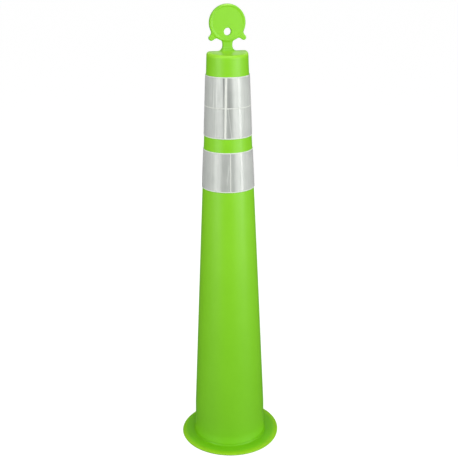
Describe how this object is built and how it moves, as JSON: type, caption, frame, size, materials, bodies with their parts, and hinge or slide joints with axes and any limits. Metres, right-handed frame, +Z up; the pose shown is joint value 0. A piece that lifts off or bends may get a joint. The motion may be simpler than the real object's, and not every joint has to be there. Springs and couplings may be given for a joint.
{
  "type": "traffic cone",
  "caption": "Tall slim channelizer cone: one hollow lime moulding with a round base flange and a disc grab handle, and slip-on silver reflective collars.",
  "frame": {"origin": "on the cone's axis, in the plane that the base flange stands on", "axes": "+Z up along the cone's axis; the handle's plate lies in the XZ plane, so its faces look along -Y and +Y; the collars' seams are on the -Y side"},
  "size_m": [0.275, 0.275, 1.1851],
  "materials": {
    "lime_moulding": "satin polyethylene with a fine moulded grain",
    "white_vinyl": "satin white vinyl",
    "prismatic_film": "glossy silver-white prismatic reflective film"
  },
  "bodies": {
    "cone": {"cone_body": "lime_moulding"},
    "upper_collar": {"upper_collar_backing": "white_vinyl", "upper_film_top_row": "prismatic_film", "upper_film_bottom_row": "prismatic_film", "upper_seam_strip": "white_vinyl"},
    "lower_collar": {"lower_collar_backing": "white_vinyl", "lower_film": "prismatic_film", "lower_seam_strip": "white_vinyl"}
  },
  "joints": [
    {"name": "upper_collar_lift", "type": "slide", "parent": "cone", "child": "upper_collar", "axis": [0, 0, 1], "range_m": [0, 0.45]},
    {"name": "lower_collar_lift", "type": "slide", "parent": "cone", "child": "lower_collar", "axis": [0, 0, 1], "range_m": [0, 0.47]}
  ]
}
